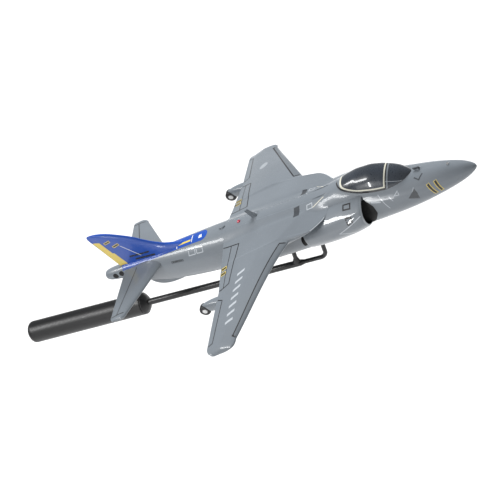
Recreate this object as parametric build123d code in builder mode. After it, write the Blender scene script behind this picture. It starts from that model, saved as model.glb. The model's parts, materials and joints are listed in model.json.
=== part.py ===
"""Hand-held wooden desk model of a single-seat jump jet on a lollipop stick.

+X runs to the nose, +Y to the left wing, +Z up, all in millimetres.  The origin is
the centre of the round grip.  The aircraft sits level; the stick dips to the front.
The aircraft is described by stations measured aft of the nose tip and by heights
above its own datum line.
"""
import math
import os

from build123d import *

os.makedirs("parts", exist_ok=True)

# ---- aircraft datum -------------------------------------------------------
NOSE_X = 333.1          # row x of the nose tip
DATUM_Z = 26.6          # row z of the aircraft's datum line

# ---- stick stock, all inch sizes ------------------------------------------
GRIP_D = 15.88          # 5/8 in turned dowel
ROD_D = 4.76            # 3/16 in rod
WIRE_D = 3.18           # 1/8 in wire
STICK_DIP = 2.9         # degrees the stick dips towards the nose
GRIP_BACK = -46.0       # along the stick from the grip centre
GRIP_FRONT = 42.0
BUTT_END = -52.0
DOME_END = 48.8
ROD_SOCKET = 8.0        # the rod starts this far along the stick, inside the grip
ROD_END = 171.5
WIRE_START = 163.0
WIRE_CORNER = 192.6     # where the wire's centre line turns up
POST_AT = 169.4         # where the rear post stands on the rod
PRONG_LEAN = 16.0       # degrees both prongs lean to the nose
PRONG_IN = 18.6         # length of each prong inside its bush
FRONT_BUSH_AT = 19.4    # height of each bush mouth above the stick's centre line,
REAR_BUSH_AT = 18.1     # measured along the prong
BEND_R = 6.0
RUN_FIT = 0.05          # radial clearance of a prong in its bush
BUSH_D = 6.0
BUSH_LEN = 20.3

# ---- aircraft -------------------------------------------------------------
LINE_GAP = 0.02         # glue line between mating wooden faces
WING_TIP = 99.0         # half span
STAB_TIP = 48.6
DOWEL_D = 4.0
PIN_D = 2.0

# station, half width, top, height of widest point, bottom, squareness of the belly
HULL = [
    (0.6, 1.0, 2.0, 1.0, 0.0, 2.15), (4, 3.7, 4.9, 1.1, -2.6, 2.15),
    (10, 6.3, 7.6, 1.3, -5.0, 2.15), (20, 9.0, 10.3, 1.4, -7.5, 2.15),
    (32, 11.6, 12.4, 1.5, -9.6, 2.15), (44, 13.8, 13.6, 1.6, -11.2, 2.15),
    (60, 15.4, 16.5, 1.6, -12.6, 2.15), (78, 15.8, 20.5, 2.0, -14.0, 2.15),
    (95, 16.0, 22.5, 3.0, -15.0, 2.2), (112, 15.5, 20.0, 3.0, -16.6, 2.5),
    (135, 15.5, 18.2, 2.5, -18.6, 3.0), (165, 15.5, 17.2, 2.0, -18.8, 3.0),
    (195, 14.8, 16.2, 2.0, -16.9, 2.4), (220, 13.0, 15.0, 2.0, -15.8, 2.15),
    (245, 10.4, 13.5, 2.5, -13.6, 2.15), (268, 6.6, 11.8, 4.5, -8.5, 2.15),
    (284, 4.9, 11.0, 5.8, 0.2, 2.15), (295, 4.0, 10.0, 6.0, 1.9, 2.15),
    (298.4, 2.2, 8.2, 6.0, 4.0, 2.15),
]
# station, outer y, top, bottom, height of widest point
COWL = [
    (70, 21.0, 14.0, -6.0, 5.5), (78, 23.6, 15.6, -8.2, 5.2), (84, 25.4, 16.4, -10.0, 4.5),
    (95, 26.7, 16.3, -11.6, 3.5), (108, 26.9, 15.0, -12.4, 2.5), (120, 26.2, 13.2, -12.7, 1.5),
    (131, 24.8, 11.5, -12.5, 0.5),
]
# station, half width, sill height, top
CANOPY = [
    (44.0, 0.8, 12.2, 13.6), (47, 4.8, 12.2, 16.2), (52, 8.0, 12.0, 20.0), (58, 9.9, 11.8, 23.2),
    (64, 10.9, 12.0, 25.6), (72, 11.2, 13.2, 27.4), (80, 10.8, 15.2, 27.3), (88, 9.4, 18.0, 25.9),
    (94, 7.0, 20.2, 24.4), (98, 2.6, 21.6, 23.2),
]
LIP_AT = 81.2           # station of the intake lip at height 15.5
LIP_RAKE = 0.155        # the lip leans this far aft per millimetre of height below that
BOW_FOOT = 64.8         # station of the canopy bow at sill height 9.7
BOW_RAKE = 0.457        # the bow leans this far forward per millimetre of height
BOW_WIDE = 2.2


def place(station, y, height):
    """Aircraft station and height to row coordinates."""
    return Vector(NOSE_X - station, y, DATUM_Z + height)


def cross_plane(station):
    """Plane square to the fuselage; sketch x is +Y and sketch y is height."""
    return Plane(origin=(NOSE_X - station, 0, DATUM_Z), x_dir=(0, 1, 0), z_dir=(1, 0, 0))


def rib_plane(y):
    """Plane along the fuselage; sketch x is row x and sketch y is height."""
    return Plane(origin=(0, y, DATUM_Z), x_dir=(1, 0, 0), z_dir=(0, -1, 0))


def oval_points(half_w, top, mid, bottom, belly=2.15, count=16, y0=0.0):
    """Points round a soft oval whose upper and lower halves differ."""
    points = []
    for i in range(count):
        a = 2 * math.pi * i / count
        power = 2.15 if math.sin(a) > 0 else belly
        c = math.copysign(abs(math.cos(a)) ** (2 / power), math.cos(a))
        s = math.copysign(abs(math.sin(a)) ** (2 / power), math.sin(a))
        rise = top - mid if s > 0 else mid - bottom
        points.append((y0 + half_w * c, mid + rise * s))
    return points


def closed_face(plane, points):
    with BuildSketch(plane) as face:
        with BuildLine():
            Spline(*points, periodic=True)
        make_face()
    return face.sketch


def foil_face(plane, lead, trail, mid, thick, droop=0.0, blunt=0.8):
    """Rounded-nose wing section between two row x values, with a blunt trailing edge."""
    fractions = (1.0, 0.9, 0.72, 0.5, 0.3, 0.14, 0.04)
    shape = (0.0, 0.28, 0.64, 0.91, 1.0, 0.82, 0.48)
    half = [max(thick / 2 * k, blunt / 2) for k in shape]
    chord = trail - lead
    base = [(lead + chord * f, mid - droop * f) for f in fractions]
    upper = [(x, z + h) for (x, z), h in zip(base, half)]
    lower = [(x, z - h) for (x, z), h in zip(base, half)]
    with BuildSketch(plane) as face:
        with BuildLine():
            Spline(*upper, (lead, mid), *reversed(lower))
            Line(lower[0], upper[0])
        make_face()
    return face.sketch


def between(table, value):
    """Straight-line reading of a list of (key, value) pairs."""
    keys = sorted(table)
    if value <= keys[0][0]:
        return keys[0][1]
    for (k0, v0), (k1, v1) in zip(keys, keys[1:]):
        if value <= k1:
            return v0 + (v1 - v0) * (value - k0) / (k1 - k0)
    return keys[-1][1]


# ---- wing shape -----------------------------------------------------------
WING_LEAD = [(8, 106.0), (12.2, 107.0), (17.5, 109.0), (21, 111.6), (24, 114.7), (26.8, 118.0),
             (29, 122.0), (30.2, 128.5), (31, 136.2), (92.5, 178.2), (95.5, 179.2), (97.5, 181.0),
             (98.5, 182.8), (WING_TIP, 185)]
WING_TRAIL = [(8, 194), (22, 194.3), (52, 195.8), (93, 204.2), (96, 202.9), (98, 199.8),
              (WING_TIP, 195.5)]
WING_THICK = [(8, 4.0), (12.2, 6.6), (17.5, 8.0), (22, 8.2), (31, 7.6), (92.5, 4.8), (97.5, 4.2),
              (98.5, 3.2), (WING_TIP, 1.4)]
WING_LEAD_Z = [(8, 14.0), (12.2, 13.2), (17.5, 12.6), (31, 12.5), (92.5, -4.6), (WING_TIP, -6.6)]
WING_TRAIL_Z = [(8, 12.6), (22, 9.7), (50.6, 3.5), (95, -8.4), (WING_TIP, -9.4)]


def wing_rib(y):
    lead_z = between(WING_LEAD_Z, y)
    return foil_face(rib_plane(-y), NOSE_X - between(WING_LEAD, y), NOSE_X - between(WING_TRAIL, y),
                     lead_z, between(WING_THICK, y), droop=lead_z - between(WING_TRAIL_Z, y))


# ---- stick directions -----------------------------------------------------
dip = math.radians(STICK_DIP)
lean = math.radians(PRONG_LEAN)
STICK = Vector(math.cos(dip), 0, -math.sin(dip))
PRONG = Vector(math.sin(lean), 0, math.cos(lean))


def stick_plane(along):
    return Plane(origin=STICK * along, x_dir=(0, 1, 0), z_dir=STICK)


def prong_plane(foot, up):
    return Plane(origin=foot + PRONG * up, x_dir=(0, 1, 0), z_dir=PRONG)


# ==== stick ================================================================
# Turned dowel grip: plain cylinder with a blind socket for the rod and a spigot
# recess at each end.
with BuildPart() as handle_grip:
    with BuildSketch(stick_plane(GRIP_BACK)):
        Circle(GRIP_D / 2)
    extrude(amount=GRIP_FRONT - GRIP_BACK)
    with BuildSketch(stick_plane(ROD_SOCKET)):
        Circle(ROD_D / 2)
    extrude(amount=60, mode=Mode.SUBTRACT)
    with BuildSketch(stick_plane(GRIP_FRONT - 6)):
        Circle(5.0)
    extrude(amount=10, mode=Mode.SUBTRACT)
    with BuildSketch(stick_plane(GRIP_BACK)):
        Circle(4.0)
    extrude(amount=8, mode=Mode.SUBTRACT)

# Domed front cap: shoulder bead, shallow groove, dome, and a spigot into the grip.
with BuildPart() as handle_nose:
    with BuildSketch(Plane(origin=(0, 0, 0), x_dir=STICK, z_dir=(0, -1, 0))):
        with BuildLine():
            Polyline((GRIP_FRONT - 6, ROD_D / 2), (GRIP_FRONT - 6, 5.0), (GRIP_FRONT, 5.0),
                     (GRIP_FRONT, GRIP_D / 2), (GRIP_FRONT + 1.5, GRIP_D / 2))
            Spline((GRIP_FRONT + 1.5, GRIP_D / 2), (GRIP_FRONT + 1.9, GRIP_D / 2 - 0.45),
                   (GRIP_FRONT + 2.3, GRIP_D / 2 - 0.15), (GRIP_FRONT + 4.2, 6.7),
                   (GRIP_FRONT + 6.0, 4.5), (DOME_END, ROD_D / 2))
            Line((DOME_END, ROD_D / 2), (GRIP_FRONT - 6, ROD_D / 2))
        make_face()
    revolve(axis=Axis((0, 0, 0), STICK))

# Butt plug: rounded end with a spigot.
with BuildPart() as handle_butt:
    with BuildSketch(Plane(origin=(0, 0, 0), x_dir=STICK, z_dir=(0, -1, 0))):
        with BuildLine():
            Polyline((GRIP_BACK + 8, 0), (GRIP_BACK + 8, 4.0), (GRIP_BACK, 4.0),
                     (GRIP_BACK, GRIP_D / 2), (GRIP_BACK - 1.0, GRIP_D / 2))
            Spline((GRIP_BACK - 1.0, GRIP_D / 2), (GRIP_BACK - 3.6, 7.0),
                   (GRIP_BACK - 5.4, 4.4), (BUTT_END, 0), tangents=[(-1, 0), (0, -1)])
            Line((BUTT_END, 0), (GRIP_BACK + 8, 0))
        make_face()
    revolve(axis=Axis((0, 0, 0), STICK))

# Main rod with a tapered front end, bored for the thinner wire.
with BuildPart() as main_rod:
    with BuildSketch(stick_plane(ROD_SOCKET)):
        Circle(ROD_D / 2)
    extrude(amount=ROD_END - ROD_SOCKET)
    with BuildSketch(stick_plane(ROD_END)):
        Circle(ROD_D / 2)
    with BuildSketch(stick_plane(ROD_END + 3.2)):
        Circle(WIRE_D / 2 + 0.15)
    loft()
    with BuildSketch(stick_plane(WIRE_START)):
        Circle(WIRE_D / 2)
    extrude(amount=20, mode=Mode.SUBTRACT)

# Fork wire: out of the rod, round the bend and up as the front prong.
bend_angle = math.acos(STICK.dot(PRONG))
bend_cut = BEND_R * math.tan(bend_angle / 2)
corner = STICK * WIRE_CORNER
bend_in = corner - STICK * bend_cut
bend_out = corner + PRONG * bend_cut
with BuildPart() as fork_wire:
    with BuildLine() as wire_path:
        Line(STICK * WIRE_START, bend_in)
        TangentArc(bend_in, bend_out, tangent=STICK)
        Line(bend_out, corner + PRONG * (FRONT_BUSH_AT + PRONG_IN))
    with BuildSketch(stick_plane(WIRE_START)):
        Circle(WIRE_D / 2)
    sweep(path=wire_path.line)
    chamfer(fork_wire.faces().sort_by(Axis.Z)[-1].edges(), 0.4)

# Rear post: short prong whose foot is coped to sit on the rod.
post_foot = STICK * POST_AT
with BuildPart() as rear_post:
    with BuildSketch(prong_plane(post_foot, 0)):
        Circle(WIRE_D / 2)
    extrude(amount=REAR_BUSH_AT + PRONG_IN)
    chamfer(rear_post.faces().sort_by(Axis.Z)[-1].edges(), 0.4)
    add(main_rod.part, mode=Mode.SUBTRACT)
    with BuildSketch(stick_plane(WIRE_START)):
        Circle(WIRE_D / 2)
    extrude(amount=20, mode=Mode.SUBTRACT)

# Weld fillet: a soft cone round the foot of the post, coped to the rod.
with BuildPart() as post_weld:
    with BuildSketch(prong_plane(post_foot, 0)):
        Ellipse(2.15, 4.4)
    with BuildSketch(prong_plane(post_foot, 3.0)):
        Ellipse(2.0, 2.7)
    with BuildSketch(prong_plane(post_foot, 5.4)):
        Ellipse(WIRE_D / 2 + 0.12, WIRE_D / 2 + 0.14)
    loft()
    add(main_rod.part, mode=Mode.SUBTRACT)
    with BuildSketch(prong_plane(post_foot, 0)):
        Circle(WIRE_D / 2)
    extrude(amount=20, mode=Mode.SUBTRACT)
    with BuildSketch(stick_plane(WIRE_START)):
        Circle(ROD_D / 2)
    extrude(amount=20, mode=Mode.SUBTRACT)

# ==== aircraft =============================================================
# Prong bushes: closed sleeves glued into the belly, one round each prong.
with BuildPart() as prong_bush_front:
    with BuildSketch(prong_plane(corner, FRONT_BUSH_AT)):
        Circle(BUSH_D / 2)
        Circle(WIRE_D / 2 + RUN_FIT, mode=Mode.SUBTRACT)
    extrude(amount=PRONG_IN + 0.05)
    with BuildSketch(prong_plane(corner, FRONT_BUSH_AT + PRONG_IN + 0.05)):
        Circle(BUSH_D / 2)
    extrude(amount=BUSH_LEN - PRONG_IN - 0.05)

with BuildPart() as prong_bush_rear:
    with BuildSketch(prong_plane(post_foot, REAR_BUSH_AT)):
        Circle(BUSH_D / 2)
        Circle(WIRE_D / 2 + RUN_FIT, mode=Mode.SUBTRACT)
    extrude(amount=PRONG_IN + 0.05)
    with BuildSketch(prong_plane(post_foot, REAR_BUSH_AT + PRONG_IN + 0.05)):
        Circle(BUSH_D / 2)
    extrude(amount=BUSH_LEN - PRONG_IN - 0.05)

# Outer shape of the hull, used to fit every piece that sits against it.
with BuildPart() as hull_shape:
    loft(sections=[closed_face(cross_plane(row[0]), oval_points(*row[1:])) for row in HULL])

# Wing dowels run from the fuselage into each panel, following its slope.
dowel_in = place(160, -6, 10.6)
dowel_out = place(160, -38, 9.0)
dowel_dir = (dowel_out - dowel_in).normalized()
with BuildPart() as wing_dowel_right:
    with BuildSketch(Plane(origin=dowel_in, z_dir=dowel_dir)):
        Circle(DOWEL_D / 2)
    extrude(amount=(dowel_out - dowel_in).length)

with BuildPart() as wing_dowel_left:
    mirror(wing_dowel_right.part, about=Plane.XZ)

# One pin carries both stabilators, another holds the fin.
with BuildPart() as stab_pin:
    with BuildSketch(Plane(origin=place(272, -16, 7.6), z_dir=(0, 1, 0))):
        Circle(PIN_D / 2)
    extrude(amount=32)

with BuildPart() as fin_pin:
    with BuildSketch(Plane(origin=place(262, 0, 4.4 + 6.0), z_dir=(0, 0, 1))):
        Circle(PIN_D / 2)
    extrude(amount=14)

# Canopy block: one carved form divided by the raked bow.
with BuildPart() as canopy_shape:
    loft(sections=[closed_face(cross_plane(s), oval_points(w, top, sill, sill - 8, count=14))
                   for s, w, sill, top in CANOPY])
    add(hull_shape.part, mode=Mode.SUBTRACT)


def bow_slab(front, back):
    """Raked slab between two offsets aft of the bow line."""
    low, high = -10.0, 45.0
    with BuildPart() as slab:
        with BuildSketch(Plane(origin=(0, 40, DATUM_Z), x_dir=(1, 0, 0), z_dir=(0, -1, 0))):
            with BuildLine():
                foot = NOSE_X - BOW_FOOT
                rake_low = BOW_RAKE * (low - 9.7)
                rake_high = BOW_RAKE * (high - 9.7)
                Polyline((foot - front + rake_low, low), (foot - back + rake_low, low),
                         (foot - back + rake_high, high), (foot - front + rake_high, high),
                         close=True)
            make_face()
        extrude(amount=80)
    return slab.part


with BuildPart() as windscreen:
    add(canopy_shape.part)
    add(bow_slab(-60, 0), mode=Mode.INTERSECT)

with BuildPart() as canopy_bow:
    add(canopy_shape.part)
    add(bow_slab(LINE_GAP, BOW_WIDE), mode=Mode.INTERSECT)

with BuildPart() as canopy_hood:
    add(canopy_shape.part)
    add(bow_slab(BOW_WIDE + LINE_GAP, 60), mode=Mode.INTERSECT)

# Wing panels with the curved root extension, trimmed to the hull.
RIB_STATIONS = (8, 12.2, 17.5, 21, 24, 26.8, 29, 30.2, 31, 50.6, 92.5, 95.5, 97.5, 98.5, WING_TIP)
with BuildPart() as wing_shape:
    loft(sections=[wing_rib(y) for y in RIB_STATIONS], ruled=True)

with BuildPart() as wing_right:
    add(wing_shape.part)
    add(hull_shape.part, mode=Mode.SUBTRACT)
    add(wing_dowel_right.part, mode=Mode.SUBTRACT)

with BuildPart() as wing_shape_left:
    mirror(wing_shape.part, about=Plane.XZ)

with BuildPart() as wing_left:
    add(wing_shape_left.part)
    add(hull_shape.part, mode=Mode.SUBTRACT)
    add(wing_dowel_left.part, mode=Mode.SUBTRACT)

# Intake cowls: bulged side fairings with a raked open mouth.
with BuildPart() as cowl_shape:
    loft(sections=[closed_face(cross_plane(s), oval_points(out - 6, top, mid, low, count=14, y0=-6))
                   for s, out, top, low, mid in COWL])

with BuildPart() as cowl_throat:
    loft(sections=[closed_face(cross_plane(s),
                               oval_points(out - 8.2, top - 2.2, mid, low + 2.2, count=14, y0=-6))
                   for s, out, top, low, mid in COWL[:4]])

NOZZLE_D = 6.6
NOZZLE_BORE = 5.2
front_jet = Vector(-1, -0.10, -0.12).normalized()
front_jet_plane = Plane(origin=place(126, -20.4, 0.6), z_dir=front_jet)
with BuildPart() as cowl_open:
    add(cowl_shape.part)
    with BuildSketch(rib_plane(40)):
        with BuildLine():
            Polyline((NOSE_X - LIP_AT + 16, 35.5), (NOSE_X - LIP_AT + LIP_RAKE * 20, 35.5),
                     (NOSE_X - LIP_AT - LIP_RAKE * 40, -24.5), (NOSE_X - LIP_AT + 16, -24.5),
                     close=True)
        make_face()
    extrude(amount=90, mode=Mode.SUBTRACT)
    add(cowl_throat.part, mode=Mode.SUBTRACT)
    with BuildSketch(front_jet_plane):
        Circle(NOZZLE_D / 2)
    extrude(amount=12, mode=Mode.SUBTRACT)

with BuildPart() as intake_cowl_right:
    add(cowl_open.part)
    add(hull_shape.part, mode=Mode.SUBTRACT)
    add(wing_shape.part, mode=Mode.SUBTRACT)

with BuildPart() as intake_cowl_left:
    mirror(cowl_open.part, about=Plane.XZ)
    add(hull_shape.part, mode=Mode.SUBTRACT)
    add(wing_shape_left.part, mode=Mode.SUBTRACT)

# Front nozzles: short tubes let into the back face of each cowl.
with BuildPart() as front_nozzle_right:
    with BuildSketch(front_jet_plane):
        Circle(NOZZLE_D / 2)
    extrude(amount=8.2)
    with BuildSketch(front_jet_plane.offset(1.5)):
        Circle(NOZZLE_BORE / 2)
    extrude(amount=10, mode=Mode.SUBTRACT)

with BuildPart() as front_nozzle_left:
    mirror(front_nozzle_right.part, about=Plane.XZ)

# Rear nozzles: stub tubes on the fuselage side under the wing.
rear_jet = Vector(-1, -0.30, -0.12).normalized()
rear_jet_plane = Plane(origin=place(166, -12.5, -2.0), z_dir=rear_jet)
with BuildPart() as rear_nozzle_shape:
    with BuildSketch(rear_jet_plane):
        Circle(NOZZLE_D / 2 + 0.6)
    extrude(amount=17)
    with BuildSketch(rear_jet_plane.offset(12)):
        Circle(NOZZLE_BORE / 2 + 0.6)
    extrude(amount=10, mode=Mode.SUBTRACT)

with BuildPart() as rear_nozzle_right:
    add(rear_nozzle_shape.part)
    add(hull_shape.part, mode=Mode.SUBTRACT)

with BuildPart() as rear_nozzle_left:
    mirror(rear_nozzle_shape.part, about=Plane.XZ)
    add(hull_shape.part, mode=Mode.SUBTRACT)

# Tail fin with its rounded tip and swept-in foot.
FIN_LEAD = [(6, 214), (13.5, 224), (15.5, 232), (17.5, 239.5), (20, 244.6), (23, 249.2),
            (27, 254.2), (32, 260), (37.5, 268.5), (41.2, 275.5), (43.2, 281), (44.3, 286)]
FIN_TRAIL = [(6, 282.5), (41.0, 291.6), (43.2, 291.2), (44.3, 289.4)]
FIN_THICK = [(6, 5.6), (16, 4.8), (40, 3.0), (43.2, 2.2), (44.3, 1.0)]


def fin_section(z):
    plane = Plane(origin=(0, 0, DATUM_Z + z), x_dir=(1, 0, 0), z_dir=(0, 0, 1))
    return foil_face(plane, NOSE_X - between(FIN_LEAD, z), NOSE_X - between(FIN_TRAIL, z), 0,
                     between(FIN_THICK, z), blunt=0.7)


with BuildPart() as fin:
    loft(sections=[fin_section(z) for z, _ in FIN_LEAD], ruled=True)
    add(hull_shape.part, mode=Mode.SUBTRACT)
    add(fin_pin.part, mode=Mode.SUBTRACT)

# Stabilators droop slightly and share one pin through the tail boom.
STAB_LEAD = [(3, 245.4), (44.5, 272.8), (47, 274.6), (STAB_TIP, 278)]
STAB_TRAIL = [(3, 280.3), (46, 286.0), (STAB_TIP, 283.6)]
STAB_THICK = [(3, 4.8), (44.5, 2.9), (47, 2.6), (STAB_TIP, 1.1)]
STAB_Z = [(3, 8.4), (46, 4.4), (STAB_TIP, 4.1)]


def stab_rib(y):
    return foil_face(rib_plane(-y), NOSE_X - between(STAB_LEAD, y), NOSE_X - between(STAB_TRAIL, y),
                     between(STAB_Z, y), between(STAB_THICK, y), blunt=0.7)


with BuildPart() as stab_shape:
    loft(sections=[stab_rib(y) for y in (3, 44.5, 47, STAB_TIP)], ruled=True)

with BuildPart() as stabilator_right:
    add(stab_shape.part)
    add(hull_shape.part, mode=Mode.SUBTRACT)
    add(stab_pin.part, mode=Mode.SUBTRACT)

with BuildPart() as stabilator_left:
    mirror(stab_shape.part, about=Plane.XZ)
    add(hull_shape.part, mode=Mode.SUBTRACT)
    add(stab_pin.part, mode=Mode.SUBTRACT)

# Ventral fin: a low keel plate under the tail.
KEEL_THICK = 2.6
with BuildPart() as ventral_fin:
    with BuildSketch(rib_plane(KEEL_THICK / 2)):
        with BuildLine():
            Spline((NOSE_X - 236, -13.6), (NOSE_X - 243, -15.6), (NOSE_X - 253, -16.9),
                   (NOSE_X - 263, -15.8), (NOSE_X - 269, -11.5), (NOSE_X - 271, -6.0))
            Polyline((NOSE_X - 271, -6.0), (NOSE_X - 268, -2.0), (NOSE_X - 240, -6.0),
                     (NOSE_X - 236, -13.6))
        make_face()
    extrude(amount=KEEL_THICK)
    fillet(ventral_fin.edges().group_by(Axis.Z)[0], 0.9)
    add(hull_shape.part, mode=Mode.SUBTRACT)

# Outrigger pods behind the wing, each with a small fixed wheel let into its tail.
POD_Y = 55.6
WHEEL_R = 4.2
WHEEL_W = 5.2
WHEEL_AT = (209.8, -3.4)
POD = [(177, 0.8, 3.2, 2.6, 2.0), (186, 3.0, 2.9, 0.8, -3.4), (192, 3.5, 2.7, 0.2, -5.0),
       (198, 3.6, 2.7, -0.4, -5.9), (204, 3.1, 2.3, -1.0, -6.2), (208.5, 2.2, 1.4, -1.5, -5.7),
       (211.4, 1.7, 0.2, -2.0, -4.9), (213.2, 0.8, -1.2, -2.4, -3.6)]
wheel_face = Plane(origin=place(WHEEL_AT[0], -POD_Y - WHEEL_W / 2, WHEEL_AT[1]), z_dir=(0, 1, 0))
with BuildPart() as wheel_slot:
    with BuildSketch(wheel_face):
        Circle(WHEEL_R)
    extrude(amount=WHEEL_W)

with BuildPart() as outrigger_wheel_right:
    add(wheel_slot.part)
    chamfer(outrigger_wheel_right.edges(), 0.6)

with BuildPart() as outrigger_wheel_left:
    mirror(outrigger_wheel_right.part, about=Plane.XZ)

with BuildPart() as outrigger_pod_right:
    loft(sections=[closed_face(Plane(origin=(NOSE_X - s, -POD_Y, DATUM_Z), x_dir=(0, 1, 0),
                                     z_dir=(1, 0, 0)), oval_points(w, top, mid, low, count=12))
                   for s, w, top, mid, low in POD])
    add(wing_shape.part, mode=Mode.SUBTRACT)
    add(wheel_slot.part, mode=Mode.SUBTRACT)

with BuildPart() as outrigger_pod_left:
    mirror(outrigger_pod_right.part, about=Plane.XZ)

# Small fittings on the spine and nose.
with BuildPart() as blade_antenna:
    with BuildSketch(rib_plane(0.55)):
        with BuildLine():
            Polyline((NOSE_X - 164.2, 15.5), (NOSE_X - 169.4, 15.5), (NOSE_X - 171.8, 24.2),
                     (NOSE_X - 169.6, 24.6), close=True)
        make_face()
    extrude(amount=1.1)
    add(hull_shape.part, mode=Mode.SUBTRACT)

with BuildPart() as beacon:
    with BuildSketch(Plane(origin=place(180.9, 0, 15.5))):
        Circle(1.4)
    extrude(amount=2.0)
    fillet(beacon.faces().sort_by(Axis.Z)[-1].edges(), 0.9)
    add(hull_shape.part, mode=Mode.SUBTRACT)

with BuildPart() as spine_blister:
    with BuildSketch(Plane(origin=place(195, 0, 14.6))):
        Ellipse(2.4, 1.3)
    extrude(amount=2.6)
    fillet(spine_blister.faces().sort_by(Axis.Z)[-1].edges(), 0.35)
    add(hull_shape.part, mode=Mode.SUBTRACT)

with BuildPart() as nose_stud:
    with BuildSketch(Plane(origin=place(17.6, 0, 7.6))):
        Circle(1.0)
    extrude(amount=3.0)
    fillet(nose_stud.faces().sort_by(Axis.Z)[-1].edges(), 0.4)
    add(hull_shape.part, mode=Mode.SUBTRACT)

with BuildPart() as yaw_vane:
    with BuildSketch(Plane(origin=place(38, 0, 11.8))):
        Circle(0.55)
    extrude(amount=3.4)
    with BuildSketch(rib_plane(0.4)):
        with BuildLine():
            Polyline((NOSE_X - 37, 13.8), (NOSE_X - 41.6, 13.8), (NOSE_X - 42.2, 15.4),
                     (NOSE_X - 37.6, 15.0), close=True)
        make_face()
    extrude(amount=0.8)
    add(hull_shape.part, mode=Mode.SUBTRACT)

# Wing panels and fuselage are finished once every mating piece exists.
with BuildPart() as fuselage:
    add(hull_shape.part)
    add(wing_dowel_right.part, mode=Mode.SUBTRACT)
    add(wing_dowel_left.part, mode=Mode.SUBTRACT)
    add(stab_pin.part, mode=Mode.SUBTRACT)
    add(fin_pin.part, mode=Mode.SUBTRACT)
    with BuildSketch(prong_plane(corner, FRONT_BUSH_AT - 6)):
        Circle(BUSH_D / 2)
    extrude(amount=BUSH_LEN + 6, mode=Mode.SUBTRACT)
    with BuildSketch(prong_plane(post_foot, REAR_BUSH_AT - 6)):
        Circle(BUSH_D / 2)
    extrude(amount=BUSH_LEN + 6, mode=Mode.SUBTRACT)

pieces = {
    "handle_grip": handle_grip, "handle_nose": handle_nose, "handle_butt": handle_butt,
    "main_rod": main_rod, "fork_wire": fork_wire, "rear_post": rear_post, "post_weld": post_weld,
    "fuselage": fuselage, "prong_bush_front": prong_bush_front, "prong_bush_rear": prong_bush_rear,
    "windscreen": windscreen, "canopy_bow": canopy_bow, "canopy_hood": canopy_hood,
    "intake_cowl_right": intake_cowl_right, "intake_cowl_left": intake_cowl_left,
    "front_nozzle_right": front_nozzle_right, "front_nozzle_left": front_nozzle_left,
    "rear_nozzle_right": rear_nozzle_right, "rear_nozzle_left": rear_nozzle_left,
    "wing_right": wing_right, "wing_left": wing_left,
    "wing_dowel_right": wing_dowel_right, "wing_dowel_left": wing_dowel_left,
    "fin": fin, "fin_pin": fin_pin,
    "stabilator_right": stabilator_right, "stabilator_left": stabilator_left,
    "stab_pin": stab_pin, "ventral_fin": ventral_fin,
    "outrigger_pod_right": outrigger_pod_right, "outrigger_pod_left": outrigger_pod_left,
    "outrigger_wheel_right": outrigger_wheel_right, "outrigger_wheel_left": outrigger_wheel_left,
    "blade_antenna": blade_antenna, "beacon": beacon, "spine_blister": spine_blister,
    "nose_stud": nose_stud, "yaw_vane": yaw_vane,
}
for name, piece in pieces.items():
    piece.part.label = name
    export_step(piece.part, f"parts/{name}.step")
    box = piece.part.bounding_box()
    print(name, len(piece.part.solids()), round(piece.part.volume), piece.part.is_valid,
          [round(v, 1) for v in (*box.min, *box.max)])
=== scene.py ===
import json
import math

import bmesh
import bpy
import numpy as np
from mathutils import Matrix, Vector
from mathutils.bvhtree import BVHTree

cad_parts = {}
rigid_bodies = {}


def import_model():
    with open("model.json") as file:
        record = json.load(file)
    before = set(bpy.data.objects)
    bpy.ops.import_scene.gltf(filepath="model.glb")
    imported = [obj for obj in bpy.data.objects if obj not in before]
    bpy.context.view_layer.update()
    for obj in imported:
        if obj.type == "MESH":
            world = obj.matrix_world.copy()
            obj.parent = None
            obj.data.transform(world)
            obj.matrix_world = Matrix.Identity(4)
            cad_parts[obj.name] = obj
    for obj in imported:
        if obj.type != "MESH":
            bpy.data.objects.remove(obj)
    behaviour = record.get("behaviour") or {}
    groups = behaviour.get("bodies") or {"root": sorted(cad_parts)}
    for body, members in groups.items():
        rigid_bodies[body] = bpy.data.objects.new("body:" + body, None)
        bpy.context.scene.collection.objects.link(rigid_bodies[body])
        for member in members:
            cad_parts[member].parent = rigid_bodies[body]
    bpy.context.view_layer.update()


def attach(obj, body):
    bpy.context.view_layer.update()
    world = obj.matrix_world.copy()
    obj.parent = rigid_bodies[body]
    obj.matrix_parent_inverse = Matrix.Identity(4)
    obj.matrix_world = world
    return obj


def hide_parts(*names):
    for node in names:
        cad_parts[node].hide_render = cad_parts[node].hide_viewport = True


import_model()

# The aircraft is described in millimetres: stations aft of the nose tip, y to the left
# wing, and heights above the aircraft's datum line.
NOSE_X = 333.1
DATUM_Z = 26.6
MM = 0.001
AIRCRAFT = "aircraft"
SIDES = ((-1, "right"), (1, "left"))
ROUNDNESS = 2.15        # exponent of the carved ovals; 2 would be a true ellipse


def to_row(points):
    """Stations, y and heights in millimetres to the row frame in metres."""
    p = np.asarray(points, float)
    return np.stack([NOSE_X - p[..., 0], p[..., 1], DATUM_Z + p[..., 2]], -1) * MM


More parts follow.
